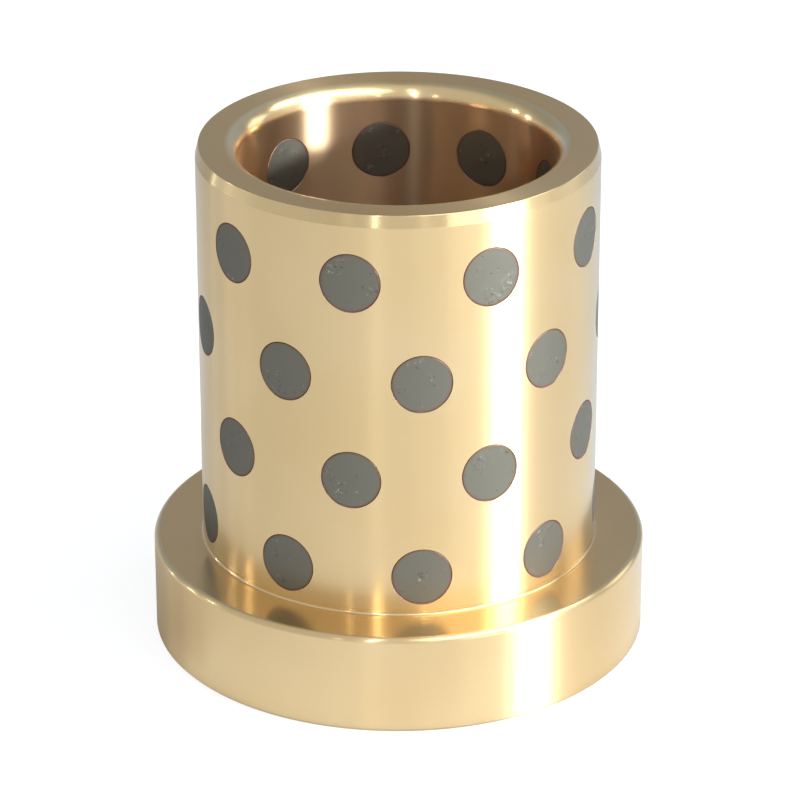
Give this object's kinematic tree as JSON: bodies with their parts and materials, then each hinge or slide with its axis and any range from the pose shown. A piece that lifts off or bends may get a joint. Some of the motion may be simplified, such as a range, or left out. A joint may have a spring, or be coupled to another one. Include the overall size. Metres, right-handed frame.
{
  "type": "shoulder bushing",
  "caption": "Flanged bronze guide bushing with staggered graphite plugs through its wall, for dry running on a guide pillar.",
  "frame": {"origin": "centre of the bore at the flange's underside, on the surface the bushing stands on", "axes": "+Z along the bore, from the flange to the nose; +X through the first plug of the lowest row"},
  "size_m": [0.04, 0.04, 0.042],
  "materials": {
    "bronze": "satin",
    "graphite": "matte"
  },
  "bodies": {
    "root": {"shell": "bronze", "plug_1_1": "graphite", "plug_1_2": "graphite", "plug_1_3": "graphite", "plug_1_4": "graphite", "plug_1_5": "graphite", "plug_1_6": "graphite", "plug_1_7": "graphite", "plug_1_8": "graphite", "plug_1_9": "graphite", "plug_2_1": "graphite", "plug_2_2": "graphite", "plug_2_3": "graphite", "plug_2_4": "graphite", "plug_2_5": "graphite", "plug_2_6": "graphite", "plug_2_7": "graphite", "plug_2_8": "graphite", "plug_2_9": "graphite", "plug_3_1": "graphite", "plug_3_2": "graphite", "plug_3_3": "graphite", "plug_3_4": "graphite", "plug_3_5": "graphite", "plug_3_6": "graphite", "plug_3_7": "graphite", "plug_3_8": "graphite", "plug_3_9": "graphite", "plug_4_1": "graphite", "plug_4_2": "graphite", "plug_4_3": "graphite", "plug_4_4": "graphite", "plug_4_5": "graphite", "plug_4_6": "graphite", "plug_4_7": "graphite", "plug_4_8": "graphite", "plug_4_9": "graphite"}
  },
  "joints": []
}
